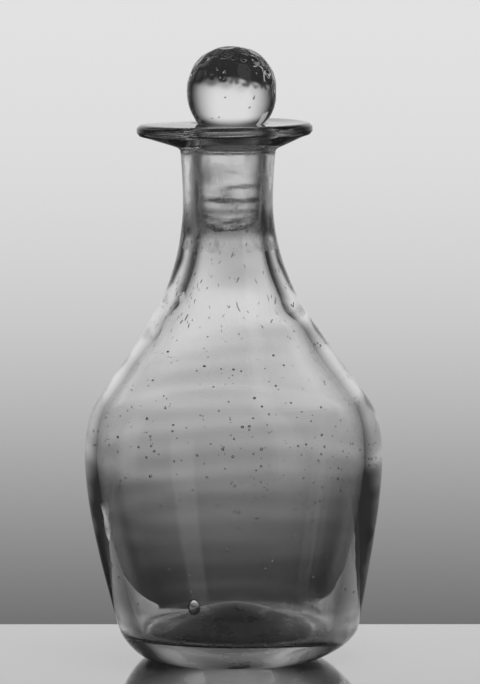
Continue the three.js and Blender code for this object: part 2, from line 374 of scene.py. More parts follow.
def curve(path, first, second, end):
    """Runs the path along a cubic curve."""
    start = path[-1]
    for step in range(1, CURVE_STEPS + 1):
        t = step / CURVE_STEPS
        s = 1 - t
        path.append(s**3 * start + 3 * s * s * t * first + 3 * s * t * t * second + t**3 * end)


def turn(path, corner, end, reach):
    """Runs the path round a corner, leaving along one side and arriving along the other."""
    curve(path, lerp(path[-1], corner, reach), lerp(end, corner, reach), end)


def arc(path, centre, radius, start, stop):
    """Runs the path along an arc, without its first point."""
    for step in range(1, CURVE_STEPS + 1):
        angle = lerp(start, stop, step / CURVE_STEPS)
        path.append(centre + radius * point(math.cos(angle), math.sin(angle)))


def evenly(path, spacing):
    """The same outline, with points at an even spacing."""
    points = np.array(path)
    lengths = np.concatenate(([0], np.cumsum(np.hypot(*np.diff(points, axis=0).T))))
    places = np.linspace(0, lengths[-1], round(lengths[-1] / spacing) + 1)
    return np.column_stack([np.interp(places, lengths, points[:, k]) for k in (0, 1)])


def shoulder_cone(wall):
    """The straight cone of the shoulder, as a pair of points, moved inwards by a wall's thickness."""
    corner = point(BODY_RADIUS, UPPER_CORNER_HEIGHT)
    top = point(CONE_TOP_DIAMETER / 2, CONE_TOP_HEIGHT)
    along = (top - corner) / np.hypot(*(top - corner))
    inwards = wall * point(-along[1], along[0])
    return corner + inwards, top + inwards


def outside_profile():
    """From the middle of the push-up, out and up the wall, and round the flange to the mouth."""
    scar_radius = SCAR_DIAMETER / 2
    ring_outer = point(REST_RING_DIAMETER / 2, 0)
    ring_inner = point(REST_RING_INNER_RADIUS, 0)
    heel = point(HEEL_DIAMETER / 2, HEEL_HEIGHT)
    lower_corner = point(BODY_RADIUS, LOWER_CORNER_HEIGHT)
    upper_corner, cone_top = shoulder_cone(0)
    neck_waist = point(NECK_DIAMETER / 2, NECK_WAIST_HEIGHT)
    neck_top = point(NECK_TOP_DIAMETER / 2, FLANGE_ROOT_HEIGHT - FLANGE_ROOT_FILLET)
    rim_radius = FLANGE_RIM_THICKNESS / 2
    rim_centre = point(FLANGE_DIAMETER / 2 - rim_radius, VESSEL_HEIGHT - rim_radius)
    under_rim = point(rim_centre[0], VESSEL_HEIGHT - FLANGE_RIM_THICKNESS)
    flange_root = point(NECK_TOP_DIAMETER / 2, FLANGE_ROOT_HEIGHT)
    underside = lerp(flange_root, under_rim, 2 * FLANGE_ROOT_FILLET / FLANGE_DIAMETER)

    path = [point(0, KICK_HEIGHT - SCAR_HEIGHT), point(scar_radius, KICK_HEIGHT - SCAR_HEIGHT)]
    path.append(point(scar_radius + SCAR_HEIGHT, KICK_HEIGHT))
    turn(path, point(KICK_TOP_DIAMETER / 2, KICK_HEIGHT), ring_inner, SOFT_CORNER)
    path.append(ring_outer)
    turn(path, at_height(heel, lower_corner, 0), heel, HEEL_CORNER)
    turn(path, lower_corner, point(BODY_RADIUS, BELLY_HEIGHT), BODY_CORNER)
    turn(path, upper_corner, at_height(upper_corner, cone_top, SHOULDER_END_HEIGHT), SHOULDER_CORNER)
    path.append(cone_top)
    turn(path, at_radius(upper_corner, cone_top, neck_waist[0]), neck_waist, SHOULDER_CORNER)
    turn(path, point(neck_waist[0], (neck_waist[1] + neck_top[1]) / 2), neck_top, SOFT_CORNER)
    turn(path, flange_root, underside, SOFT_CORNER)
    path.append(under_rim)
    arc(path, rim_centre, rim_radius, -math.pi / 2, math.pi / 2)
    path.append(point(MOUTH_RADIUS, VESSEL_HEIGHT))
    return path


def cavity_profile():
    """From the mouth down the bore and the wall to the middle of the inner push-up."""
    lower_corner = point(BODY_RADIUS - BELLY_WALL, LOWER_CORNER_HEIGHT)
    outer_heel = point(HEEL_DIAMETER / 2, HEEL_HEIGHT)
    outer_wall = at_height(outer_heel, point(BODY_RADIUS, LOWER_CORNER_HEIGHT), INNER_HEEL_HEIGHT)
    heel = point(outer_wall[0] - HEEL_WALL, INNER_HEEL_HEIGHT)
    belly = point(BODY_RADIUS - BELLY_WALL, BELLY_HEIGHT)
    cone_foot, cone_top = shoulder_cone(SHOULDER_WALL)
    upper_corner = at_radius(cone_foot, cone_top, belly[0])
    cone_start = at_height(cone_foot, cone_top, SHOULDER_END_HEIGHT - SHOULDER_WALL / 3)
    cone_top = at_height(cone_foot, cone_top, INNER_CONE_TOP_HEIGHT)
    up_cone = (cone_top - cone_start) / np.hypot(*(cone_top - cone_start))
    throat = point(BORE_TIP_RADIUS, THROAT_HEIGHT)

    path = [point(MOUTH_RADIUS, VESSEL_HEIGHT)]
    arc(path, point(MOUTH_RADIUS, WAIST_HEIGHT), MOUTH_ROUND, math.pi / 2, math.pi)
    path.append(point(BORE_TOP_RADIUS, SEAT_HEIGHT))
    path.append(throat)
    down_throat = throat + THROAT_REACH * point(THROAT_FLARE, -1)
    curve(path, down_throat, cone_top + INNER_CONE_REACH * up_cone, cone_top)
    path.append(cone_start)
    turn(path, upper_corner, belly, SHOULDER_CORNER)
    turn(path, lower_corner, heel, INNER_BODY_CORNER)
    foot = at_height(heel, lower_corner, FLOOR_HEIGHT)
    kick_top = point(INNER_KICK_TOP_DIAMETER / 2, INNER_KICK_HEIGHT)
    turn(path, foot, at_radius(foot, kick_top, FLOOR_RING_DIAMETER / 2), SOFT_CORNER)
    turn(path, kick_top, point(0, INNER_KICK_HEIGHT), SOFT_CORNER)
    return path


def ball_reach(angle):
    """Distance from the ball's centre to its skin at an angle above the level."""
    across = np.abs(np.cos(angle)) ** BALL_FULLNESS
    up = np.abs(np.sin(angle)) ** BALL_FULLNESS
    return BALL_RADIUS / (across + up) ** (1 / BALL_FULLNESS)


def plug_profile():
    """From the middle of the plug's tip up to where the ball starts."""
    plug_top = point(PLUG_TOP_DIAMETER / 2, SEAT_HEIGHT)
    plug_tip = point(PLUG_TIP_DIAMETER / 2, TIP_TOP_HEIGHT)
    tip_end = point(TIP_END_DIAMETER / 2, TIP_HEIGHT)
    waist = point(WAIST_DIAMETER / 2, WAIST_HEIGHT)
    waist_top = point(waist[0], waist[1] + WAIST_LENGTH)
    path = [point(0, tip_end[1]), tip_end]
    turn(path, at_height(plug_top, plug_tip, plug_tip[1] - TIP_CHAMFER_HEIGHT / 2), plug_tip, SOFT_CORNER)
    path.append(plug_top)
    path.append(waist)
    turn(path, waist_top, point(BALL_FOOT_RADIUS, BALL_FOOT_HEIGHT), SOFT_CORNER)
    return path


# Surfaces: arrays of points, rows by segments by (x, y, z), in millimetres.
def smoothstep(value, low, high):
    share = np.clip((value - low) / (high - low), 0, 1)
    return share * share * (3 - 2 * share)


def spin(profile, segments):
    """Turns an outline round the upright axis."""
    angles = np.arange(segments) * 2 * math.pi / segments
    radius = profile[:, 0:1]
    height = np.repeat(profile[:, 1:2], segments, axis=1)
    return np.stack((radius * np.cos(angles), radius * np.sin(angles), height), axis=-1)


def lean_at(height):
    """Sideways lean of the body's centre line at a height."""
    foot = 1 - np.clip((height - HEEL_HEIGHT) / (BELLY_HEIGHT - HEEL_HEIGHT), 0, 1)
    rest = 1 - np.clip(height / HEEL_HEIGHT, 0, 1)
    neck = smoothstep(height, BELLY_HEIGHT + UPRIGHT_ABOVE_BELLY, NECK_WAIST_HEIGHT)
    return FOOT_LEAN * foot**2 + (REST_LEAN - FOOT_LEAN) * rest**2 + NECK_LEAN * neck


def gather_step(x, z, height, step, softness, fade):
    """The second gather's step: full just under its tilted edge, and gone some way below it."""
    below = height + RIDGE_TILT * x - z
    edge = smoothstep(below, -softness, softness)
    return step * edge * (1 - smoothstep(below, softness, fade))


def outer_step(x, z):
    return gather_step(x, z, RIDGE_HEIGHT, RIDGE_STEP, RIDGE_SOFTNESS, RIDGE_FADE)


def inner_step(x, z):
    return gather_step(x, z, INNER_RIDGE_HEIGHT, INNER_RIDGE_STEP, INNER_RIDGE_SOFTNESS, INNER_RIDGE_FADE)


def cavity_shift(height):
    """Sideways shift of the cavity from the outside's centre line."""
    blend = CAVITY_OFFSET_BLEND
    bore = smoothstep(height, CONE_TOP_HEIGHT, THROAT_HEIGHT)
    neck = smoothstep(height, CONE_TOP_HEIGHT - blend, CONE_TOP_HEIGHT + blend)
    return BORE_OFFSET * bore + CAVITY_OFFSET * (1 - neck)


def push_out(surface, push):
    """Moves each point outwards from the axis."""
    radius = np.maximum(np.hypot(surface[..., 0], surface[..., 1]), TINY)
    surface[..., 0] *= 1 + push / radius
    surface[..., 1] *= 1 + push / radius


def bend_flange(surface):
    """The flange is a hand-spun disc: off the neck's centre, tilted, and warped along its back edge."""
    x, y, z = np.moveaxis(surface, -1, 0).copy()
    radius = np.maximum(np.hypot(x, y), TINY)
    out = smoothstep(radius, NECK_TOP_DIAMETER / 2, FLANGE_DIAMETER / 2) * (z >= FLANGE_ROOT_HEIGHT)
    back = np.maximum(0, y) / radius
    steepest = 2 / (3 * math.sqrt(3))  # the largest value of x / radius * back**2
    surface[..., 2] = z + out * x / radius * (FLANGE_TILT + FLANGE_WARP * back**2 / steepest)
    surface[..., 0] = x + FLANGE_OFFSET * out


def add_reams(surface, draw, calm_above):
    """Pushes a wall in and out by faint waves. They fade out at the foot and towards the neck."""
    dice = random.Random(draw)
    x, y, z = np.moveaxis(surface, -1, 0)
    angle = np.arctan2(y, x)
    push = np.zeros_like(z)
    for _ in range(REAM_COUNT):
        length = dice.uniform(*REAM_LENGTHS)
        turns = dice.randint(-REAM_TURNS, REAM_TURNS)
        phase = dice.uniform(0, 2 * math.pi)
        patch = (1 + np.sin(angle * dice.randint(*REAM_PATCHES) + dice.uniform(0, 2 * math.pi))) / 2
        push += patch * np.sin(2 * math.pi * z / length + turns * angle + phase) * length
    push *= REAM_DEPTH / REAM_COUNT**0.5 / np.mean(REAM_LENGTHS)
    push *= 1 - smoothstep(z, calm_above - REAM_FADE, calm_above)
    push *= smoothstep(z, *REAM_START_HEIGHTS)
    push_out(surface, push)


def vessel_outside():
    """The outside, with the inner end of its mouth moved to the bore's own centre."""
    surface = spin(evenly(outside_profile(), ROW_SPACING), VESSEL_SEGMENTS)
    radius = np.hypot(surface[..., 0], surface[..., 1])
    on_top = surface[..., 2] > VESSEL_HEIGHT - TINY
    near_mouth = on_top * (1 - smoothstep(radius, MOUTH_RADIUS, MOUTH_RADIUS + MOUTH_BLEND))
    push_out(surface, outer_step(surface[..., 0], surface[..., 2]))
    add_reams(surface, OUTER_REAM_DRAW, FLANGE_ROOT_HEIGHT)
    bend_flange(surface)
    surface[..., 0] += lean_at(surface[..., 2]) + BORE_OFFSET * near_mouth
    return surface


def vessel_cavity():
    surface = spin(evenly(cavity_profile(), ROW_SPACING), VESSEL_SEGMENTS)
    push_out(surface, inner_step(surface[..., 0], surface[..., 2]))
    add_reams(surface, INNER_REAM_DRAW, THROAT_HEIGHT)
    surface[..., 0] += lean_at(surface[..., 2]) + cavity_shift(surface[..., 2])
    return surface


def mulberry(seed):
    """One repeatable number from 0 to 1 for a whole number, by the mulberry32 generator."""
    mask = 0xFFFFFFFF
    t = (seed + 0x6D2B79F5) & mask
    t = ((t ^ t >> 15) * (t | 1)) & mask
    t ^= (t + (((t ^ t >> 7) * (t | 61)) & mask)) & mask
    return ((t ^ t >> 14) & mask) / (mask + 1)


def facet_directions():
    """Directions of the facets: rings about an axis that is tilted to the right."""
    tilt = Matrix.Rotation(FACET_AXIS_TILT, 3, "Y")
    directions = []
    for ring in range(FACET_RINGS):
        polar = ring * FACET_PITCH / BALL_RADIUS
        count = max(1, math.floor(2 * math.pi * BALL_RADIUS * math.sin(polar) / FACET_PITCH + 0.5))
        for i in range(count):
            azimuth = 2 * math.pi * (i + (ring % 2) / 2) / count
            level = math.sin(polar)
            direction = Vector((level * math.cos(azimuth), level * math.sin(azimuth), math.cos(polar)))
            directions.append(np.array(tilt @ direction))
    return directions


def ball_surface():
    """The ball above its foot, with the facets' hollows ground in and their edges slightly blunted."""
    angles = np.linspace(BALL_UNDER_ANGLE, math.pi / 2, BALL_ROWS + 1)[1:]
    turns = np.arange(STOPPER_SEGMENTS) * 2 * math.pi / STOPPER_SEGMENTS
    level = np.cos(angles)[:, None]
    up = np.repeat(np.sin(angles)[:, None], STOPPER_SEGMENTS, axis=1)
    way = np.stack((level * np.cos(turns), level * np.sin(turns), up), axis=-1)
    reach = np.repeat(ball_reach(angles)[:, None], STOPPER_SEGMENTS, axis=1)
    total = np.exp(-reach / FACET_EDGE_ROUND + BALL_RADIUS / FACET_EDGE_ROUND)
    for i, direction in enumerate(facet_directions()):
        spread = FACET_DEPTH_SPREAD * (2 * mulberry(i + 1) - 1)
        skin = ball_reach(math.asin(direction[2]))
        centre = direction * (skin + FACET_GRINDER_RADIUS - FACET_DEPTH - spread)
        along = way @ centre
        inside = along**2 - centre @ centre + FACET_GRINDER_RADIUS**2
        hit = np.where((inside > 0) & (along > 0), along - np.sqrt(np.maximum(inside, 0)), 2 * BALL_RADIUS)
        total += np.exp((BALL_RADIUS - hit) / FACET_EDGE_ROUND)
    reach = BALL_RADIUS - FACET_EDGE_ROUND * np.log(total)
    surface = way * reach[..., None]
    surface[..., 2] += BALL_CENTRE_HEIGHT
    return surface


def roughen_tip(surface):
    """Dents the plug's tip, most of all at its end."""
    x, y, z = np.moveaxis(surface, -1, 0).copy()
    near = 1 - smoothstep(z, TIP_HEIGHT + TIP_BUMP_START, TIP_TOP_HEIGHT + TIP_BUMP_FADE)
    dice = random.Random(TIP_DRAW)
    bumps = np.zeros_like(z)
    for _ in range(TIP_BUMP_COUNT):
        pitch = dice.uniform(*TIP_BUMP_PITCHES)
        heading = dice.uniform(0, 2 * math.pi)
        wave = (x * math.cos(heading) + y * math.sin(heading)) * 2 * math.pi / pitch
        twist = z * dice.uniform(-TIP_BUMP_TWIST, TIP_BUMP_TWIST)
        bumps += pitch * np.sin(wave + twist + dice.uniform(0, 2 * math.pi))
    bumps /= TIP_BUMP_COUNT**0.5 * np.mean(TIP_BUMP_PITCHES)
    radius = np.maximum(np.hypot(x, y), TINY)
    inward = TIP_BUMP * near * np.clip(bumps, -1, 1)
    surface[..., 2] = z + np.maximum(0, inward) * TIP_BUMP_RISE
    shrink = 1 - np.abs(inward) * np.minimum(radius / TIP_MIDDLE_RADIUS, 1) / radius
    surface[..., 0] = x * shrink
    surface[..., 1] = y * shrink


def stopper_surface():
    plug = spin(evenly(plug_profile(), PLUG_SPACING), STOPPER_SEGMENTS)
    roughen_tip(plug)
    surface = np.concatenate((plug, ball_surface()))
    z = surface[..., 2]
    tip = 1 - smoothstep(z, TIP_HEIGHT, TIP_TOP_HEIGHT)
    ball = smoothstep(z, WAIST_HEIGHT, WAIST_HEIGHT + BALL_BEND)
    surface[..., 2] = z + TIP_END_TILT * surface[..., 0] * tip
    surface[..., 0] += BALL_OFFSET * ball + STOPPER_X
    return surface


def add_piece(name, points, faces):
    mesh = bpy.data.meshes.new(name)
    mesh.from_pydata(points.tolist(), [], faces)
    mesh.shade_smooth()
    piece = bpy.data.objects.new(name, mesh)
    scene.collection.objects.link(piece)
    return piece


def closed_mesh(name, surface):
    """A closed mesh from rows of points. The first and the last row are single points."""
    segments = surface.shape[1]
    inner = surface[1:-1].reshape(-1, 3)
    points = np.concatenate((surface[0, :1], inner, surface[-1, :1])) * MM
    last = len(points) - 1
    top = last - segments
    faces = []
    for j in range(segments):
        k = (j + 1) % segments
        faces.append((0, 1 + k, 1 + j))
        faces.append((top + j, top + k, last))
        for low in range(1, top, segments):
            faces.append((low + j, low + k, low + segments + k, low + segments + j))
    return add_piece(name, points, faces)


def shade_and_wear_pontil(mesh):
    """Gives the hollow under the base the second material, which holds painted shade."""
    for face in mesh.polygons:
        place = face.center / MM
        inside_ring = math.hypot(place.x - REST_LEAN, place.y) < REST_RING_INNER_RADIUS
        if place.z < KICK_HEIGHT and inside_ring:
            face.material_index = 1


# Seeds: closed ellipsoids of air in the glass.
def seed_mesh(name, seeds):
    """One piece that holds many seeds, each a (centre, three half axes) pair in millimetres."""
    stock = bpy.data.meshes.new("seed_stock")
    shape = bmesh.new()
    bmesh.ops.create_icosphere(shape, subdivisions=SEED_SUBDIVISIONS, radius=1)
    shape.to_mesh(stock)
    shape.free()
    unit = np.array([v.co for v in stock.vertices])
    corners = np.array([p.vertices for p in stock.polygons])
    bpy.data.meshes.remove(stock)
    points = []
    faces = []
    for centre, axes in seeds:
        faces.append(corners + len(points) * len(unit))
        points.append((centre + unit @ np.array(axes)) * MM)
    return add_piece(name, np.concatenate(points), np.concatenate(faces).tolist())


def wall_lines():
    """Heights and radii up the outside, then heights and radii up the cavity."""
    outer = np.array(outside_profile())
    rise = slice(np.argmin(outer[:, 1]), np.argmax(outer[:, 1] > FLANGE_ROOT_HEIGHT - FLANGE_ROOT_FILLET))
    inner = np.array(cavity_profile())[::-1]
    climb = slice(np.argmin(inner[:, 1]), len(inner))
    return outer[rise, 1], outer[rise, 0], inner[climb, 1], inner[climb, 0]


def ways_at(angle):
    """Unit vectors outwards, round the axis and upright."""
    outwards = np.array((math.cos(angle), math.sin(angle), 0))
    round_way = np.array((-math.sin(angle), math.cos(angle), 0))
    return outwards, round_way, np.array((0, 0, 1))


def seed_in_wall(dice, lines, height, radii, stretch, slant):
    """A seed inside the wall: its long axis lies in the wall, at a slant from the upright."""
    angle = dice.uniform(0, 2 * math.pi)
    outer = np.interp(height, lines[0], lines[1])
    inner = np.interp(height, lines[2], lines[3])
    outer += outer_step(outer * math.cos(angle), height)
    inner += inner_step(inner * math.cos(angle), height) + cavity_shift(height) * math.cos(angle)
    room = (outer - inner) / 2 - SEED_MARGIN
    radius = min(lerp(radii[0], radii[1], dice.random() ** SEED_SIZE_POWER), room)
    depth = dice.uniform(inner + SEED_MARGIN + radius, outer - SEED_MARGIN - radius)
    outwards, round_way, upright = ways_at(angle)
    along = math.cos(slant) * upright + math.sin(slant) * round_way
    across = math.cos(slant) * round_way - math.sin(slant) * upright
    centre = outwards * depth + np.array((lean_at(height), 0, height))
    return centre, (radius * outwards, radius * across, radius * stretch * along)


def scatter_seeds(dice, lines, count, radii, heights, stretches, slants):
    """Seeds at random places in the wall."""
    seeds = []
    for _ in range(count):
        height = dice.triangular(*heights)
        slant = dice.uniform(*slants)
        stretch = dice.uniform(*stretches)
        seeds.append(seed_in_wall(dice, lines, height, radii, stretch, slant))
    return seeds


def big_bubble(lines):
    """The one large flat bubble, low on the front."""
    height = BIG_BUBBLE_HEIGHT
    depth = (np.interp(height, lines[0], lines[1]) + np.interp(height, lines[2], lines[3])) / 2
    ways = ways_at(BIG_BUBBLE_ANGLE)
    centre = ways[0] * depth + np.array((lean_at(height), 0, height))
    return centre, tuple(length * way for length, way in zip(BIG_BUBBLE_AXES, ways))


def vessel_seeds():
    dice = random.Random(VESSEL_SEED_DRAW)
    lines = wall_lines()
    body = (BODY_SEEDS, BODY_SEED_RADII, BODY_SEED_HEIGHTS, BODY_SEED_STRETCH, BODY_SEED_SLANTS)
    neck = (NECK_SEEDS, NECK_SEED_RADII, NECK_SEED_HEIGHTS, NECK_SEED_STRETCH, NECK_SEED_SLANTS)
    seeds = scatter_seeds(dice, lines, *body)
    seeds += scatter_seeds(dice, lines, *neck)
    seeds.append(big_bubble(lines))
    return seed_mesh("vessel_seeds", seeds)


def stopper_seeds():
    dice = random.Random(STOPPER_SEED_DRAW)
    seeds = []
    for i in range(PLUG_SEEDS + BALL_SEEDS):
        radius = dice.uniform(*STOPPER_SEED_RADII)
        offset = dice.uniform(*STOPPER_SEED_OFFSETS)
        angle = dice.uniform(0, 2 * math.pi)
        if i < PLUG_SEEDS:
            stretch = dice.uniform(*PLUG_SEED_STRETCH)
            height = dice.uniform(TIP_HEIGHT + PLUG_SEED_FOOT, SEAT_HEIGHT)
        else:
            stretch = BALL_SEED_STRETCH
            height = BALL_CENTRE_HEIGHT + dice.uniform(-BALL_SEED_REACH, BALL_SEED_REACH)
        centre = np.array((STOPPER_X + offset * math.cos(angle), offset * math.sin(angle), height))
        long_axis = np.array(STOPPER_SEED_LEAN) * radius * stretch
        seeds.append((centre, ((radius, 0, 0), (0, radius, 0), long_axis)))
    return seed_mesh("stopper_seeds", seeds)


# Materials.
def new_material(name):
    """A material with its node tree and its shader."""
    material = bpy.data.materials.new(name)
    material.use_nodes = True
    tree = material.node_tree
    return material, tree, tree.nodes["Principled BSDF"]


def node(tree, kind, **settings):
    made = tree.nodes.new(kind)
    for key, value in settings.items():
        setattr(made, key, value)
    return made


def math_node(tree, operation, *values):
    """One operation on one or two values, or on several from left to right."""
    if len(values) > 2:
        values = (math_node(tree, operation, *values[:-1]), values[-1])
    made = node(tree, "ShaderNodeMath", operation=operation)
    for socket, value in zip(made.inputs, values):
        if isinstance(value, (int, float)):
            socket.default_value = value
        else:
            tree.links.new(value, socket)
    return made.outputs[0]


def ramp(tree, value, start, stop, first, last):
    """A smooth change from a first to a last number while the value goes from start to stop."""
    made = node(tree, "ShaderNodeMapRange", interpolation_type="SMOOTHSTEP")
    made.inputs["From Min"].default_value = start
    made.inputs["From Max"].default_value = stop
    made.inputs["To Min"].default_value = first
    made.inputs["To Max"].default_value = last
    tree.links.new(value, made.inputs["Value"])
    return made.outputs["Result"]


def ramp_mm(tree, length, start, stop, first, last):
    """A ramp over a length, with its start and stop in millimetres."""
    return ramp(tree, length, start * MM, stop * MM, first, last)


def noise(tree, place, scale, detail):
    """Cloudy noise from 0 to 1."""
    made = node(tree, "ShaderNodeTexNoise")
    made.inputs["Scale"].default_value = scale
    made.inputs["Detail"].default_value = detail
    tree.links.new(place, made.inputs["Vector"])
    return made.outputs["Fac"]


def stretched(tree, place, factors):
    made = node(tree, "ShaderNodeVectorMath", operation="MULTIPLY")
    made.inputs[1].default_value = factors
    tree.links.new(place, made.inputs[0])
    return made.outputs[0]


def coordinates(tree, place):
    """The x, y and z of a place."""
    split = node(tree, "ShaderNodeSeparateXYZ")
    tree.links.new(place, split.inputs[0])
    return split.outputs["X"], split.outputs["Y"], split.outputs["Z"]


def axis_distance(tree, x, y, axis_x):
    """Distance from an upright axis, in metres."""
    across = math_node(tree, "SUBTRACT", x, axis_x * MM)
    squares = math_node(tree, "ADD", math_node(tree, "POWER", across, 2), math_node(tree, "POWER", y, 2))
    return math_node(tree, "SQRT", squares)


def tint(tree, share, dark):
    """Clear where the share is 0, and a dark tone where it is 1."""
    mix = node(tree, "ShaderNodeMix", data_type="RGBA")
    mix.inputs["A"].default_value = CLEAR
    mix.inputs["B"].default_value = dark
    tree.links.new(share, mix.inputs["Factor"])
    return mix.outputs["Result"]


def add_bump(tree, shader, relief, height):
    """Bumps in the skin, of a height in millimetres."""
    bump = node(tree, "ShaderNodeBump")
    bump.inputs["Strength"].default_value = 1
    bump.inputs["Distance"].default_value = height * MM
    tree.links.new(relief, bump.inputs["Height"])
    tree.links.new(bump.outputs["Normal"], shader.inputs["Normal"])


def glass(name, absorption, grain, grain_height):
    """Clear glass with faint waves in its skin and a slight grey in its depth."""
    material, tree, shader = new_material(name)
    shader.inputs["Base Color"].default_value = CLEAR
    shader.inputs["Transmission Weight"].default_value = 1
    shader.inputs["IOR"].default_value = GLASS_IOR
    place = node(tree, "ShaderNodeTexCoord").outputs["Object"]
    add_bump(tree, shader, noise(tree, place, *grain), grain_height)
    depth = node(tree, "ShaderNodeVolumeAbsorption")
    depth.inputs["Color"].default_value = GLASS_GREY
    depth.inputs["Density"].default_value = absorption
    tree.links.new(depth.outputs["Volume"], tree.nodes["Material Output"].inputs["Volume"])
    return material, tree, shader, place


def floor_haze(tree, place, height, radius):
    """Roughness of the mottled haze over the floor inside."""
    low = ramp_mm(tree, height, HAZE_TOP, HAZE_TOP + HAZE_FADE, 1, 0)
    within = ramp_mm(tree, radius, HAZE_RADIUS, HAZE_RADIUS + HAZE_FADE, 1, 0)
    slope = math_node(tree, "ADD", height, math_node(tree, "MULTIPLY", radius, HAZE_SLOPE))
    inside = ramp_mm(tree, slope, HAZE_FLOOR, HAZE_FLOOR + EDGE_WIDTH, 0, 1)
    mottle = ramp(tree, noise(tree, place, *FLOOR_MOTTLE), *MOTTLE_RANGE, *FLOOR_ROUGHNESS)
    return math_node(tree, "MULTIPLY", low, within, inside, mottle)


def ground_bore(tree, height, radius):
    """1 in the part of the bore that was ground to fit the plug, and 0 elsewhere."""
    bore = ramp_mm(tree, radius, BORE_MASK_RADIUS, BORE_MASK_RADIUS + EDGE_WIDTH, 1, 0)
    half_edge = EDGE_WIDTH / 2
    above = ramp_mm(tree, height, BORE_GROUND_FOOT - half_edge, BORE_GROUND_FOOT + half_edge, 0, 1)
    below = ramp_mm(tree, height, WAIST_HEIGHT, WAIST_HEIGHT + EDGE_WIDTH, 1, 0)
    return math_node(tree, "MULTIPLY", bore, above, below)


def painted_rim_shade(tree, height, radius):
    """Share of the painted shade in the flange's rim."""
    rim_painted_shade = ramp_mm(tree, radius, *FLANGE_PAINTED_SHADE_RADII, 0, 1)
    high = ramp_mm(tree, height, FLANGE_ROOT_HEIGHT - EDGE_WIDTH, FLANGE_ROOT_HEIGHT, 0, 1)
    return math_node(tree, "MULTIPLY", rim_painted_shade, high, FLANGE_PAINTED_SHADE)


def painted_foot_shade(tree, height):
    """Share of the painted shade in the foot, above the clear heel."""
    foot = ramp_mm(tree, height, *FOOT_PAINTED_SHADE_HEIGHTS, FOOT_PAINTED_SHADE, 0)
    above_heel = ramp_mm(tree, height, *HEEL_CLEAR_HEIGHTS, 0, 1)
    return math_node(tree, "MULTIPLY", foot, above_heel)


def vessel_finish():
    """Fire polished, but hazy over the floor inside, ground and dirty in the bore where the plug fits, and
    with painted shade in the flange's rim and the foot.
    """
    material, tree, shader, place = glass(
        "vessel_glass", VESSEL_ABSORPTION, VESSEL_GRAIN, VESSEL_GRAIN_HEIGHT
    )
    x, y, height = coordinates(tree, place)
    haze = floor_haze(tree, place, height, axis_distance(tree, x, y, FOOT_LEAN))
    ground = ground_bore(tree, height, axis_distance(tree, x, y, STOPPER_X))
    marks = noise(tree, stretched(tree, place, BORE_STREAK), *BORE_MARKS)
    rough = math_node(tree, "MULTIPLY", ground, ramp(tree, marks, *BORE_MARK_RANGE, *BORE_ROUGHNESS))
    tree.links.new(math_node(tree, "ADD", haze, rough), shader.inputs["Roughness"])
    darkening = math_node(tree, "MULTIPLY", ground, ramp(tree, marks, *BORE_DIRT_RANGE, 0, 1))
    rim_painted_shade = painted_rim_shade(tree, height, axis_distance(tree, x, y, NECK_LEAN))
    # The bore's dirt, and painted shade in the flange's rim and the foot, share one dark tone.
    dirt_and_painted_shade = math_node(tree, "MAXIMUM", darkening, rim_painted_shade, painted_foot_shade(tree, height))
    tree.links.new(tint(tree, dirt_and_painted_shade, DIRT_AND_PAINTED_SHADE_TONE), shader.inputs["Base Color"])
    return material


def pontil_finish():
    """The hollow under the base, rough from the pontil and dulled by wear, and near black in patches as
    painted shade for the shadow under the decanter.
    """
    material, tree, shader = new_material("worn_pontil_painted_shade")
    place = node(tree, "ShaderNodeTexCoord").outputs["Object"]
    patches = noise(tree, place, *PONTIL_PATCHES)
    # Painted shade: dark patches stand for the shadow under the decanter.
    darkening = node(tree, "ShaderNodeValToRGB")
    stops = zip(darkening.color_ramp.elements, PONTIL_PAINTED_SHADE_RANGE, (PONTIL_SHADE_DARK, PONTIL_SHADE_PALE))
    for stop, position, colour in stops:
        stop.position = position
        stop.color = colour
    tree.links.new(patches, darkening.inputs["Fac"])
    tree.links.new(darkening.outputs["Color"], shader.inputs["Base Color"])
    rough = ramp(tree, patches, *PONTIL_WEAR_RANGE, *PONTIL_ROUGHNESS)
    tree.links.new(rough, shader.inputs["Roughness"])
    add_bump(tree, shader, patches, PONTIL_BUMP_HEIGHT)
    return material


def stopper_finish():
    """Polished, with the plug ground dull in bands where it was fitted to the neck."""
    material, tree, shader, place = glass(
        "stopper_glass", STOPPER_ABSORPTION, STOPPER_GRAIN, STOPPER_GRAIN_HEIGHT
    )
    height = coordinates(tree, place)[2]
    low = ramp_mm(tree, height, GROUND_TOP, GROUND_TOP + EDGE_WIDTH, 1, 0)
    bands = noise(tree, stretched(tree, place, GROUND_STREAK), *GROUND_MARKS)
    marks = ramp(tree, bands, *MOTTLE_RANGE, *GROUND_ROUGHNESS)
    tree.links.new(math_node(tree, "MULTIPLY", low, marks), shader.inputs["Roughness"])
    smear_foot = ramp_mm(tree, height, SMEAR_HEIGHT - SMEAR_WIDTH, SMEAR_HEIGHT, 0, 1)
    smear_top = ramp_mm(tree, height, SMEAR_HEIGHT, SMEAR_HEIGHT + SMEAR_WIDTH, 1, 0)
    smear = math_node(tree, "MULTIPLY", smear_foot, smear_top)
    tip = ramp_mm(tree, height, *TIP_DIRT_HEIGHTS, 1, 0)
    reach = math_node(tree, "MULTIPLY", math_node(tree, "ADD", smear, tip), DIRT_REACH)
    dirty = ramp(tree, math_node(tree, "ADD", bands, reach), *PLUG_DIRT_RANGE, 0, 1)
    specks = ramp(tree, noise(tree, place, *TIP_SPECKS), *TIP_SPECK_RANGE, 0, 1)
    speckled = math_node(tree, "MULTIPLY", tip, specks)
    darkening = math_node(tree, "MULTIPLY", low, math_node(tree, "MAXIMUM", dirty, speckled))
    tree.links.new(tint(tree, darkening, PLUG_DIRT), shader.inputs["Base Color"])
    return material


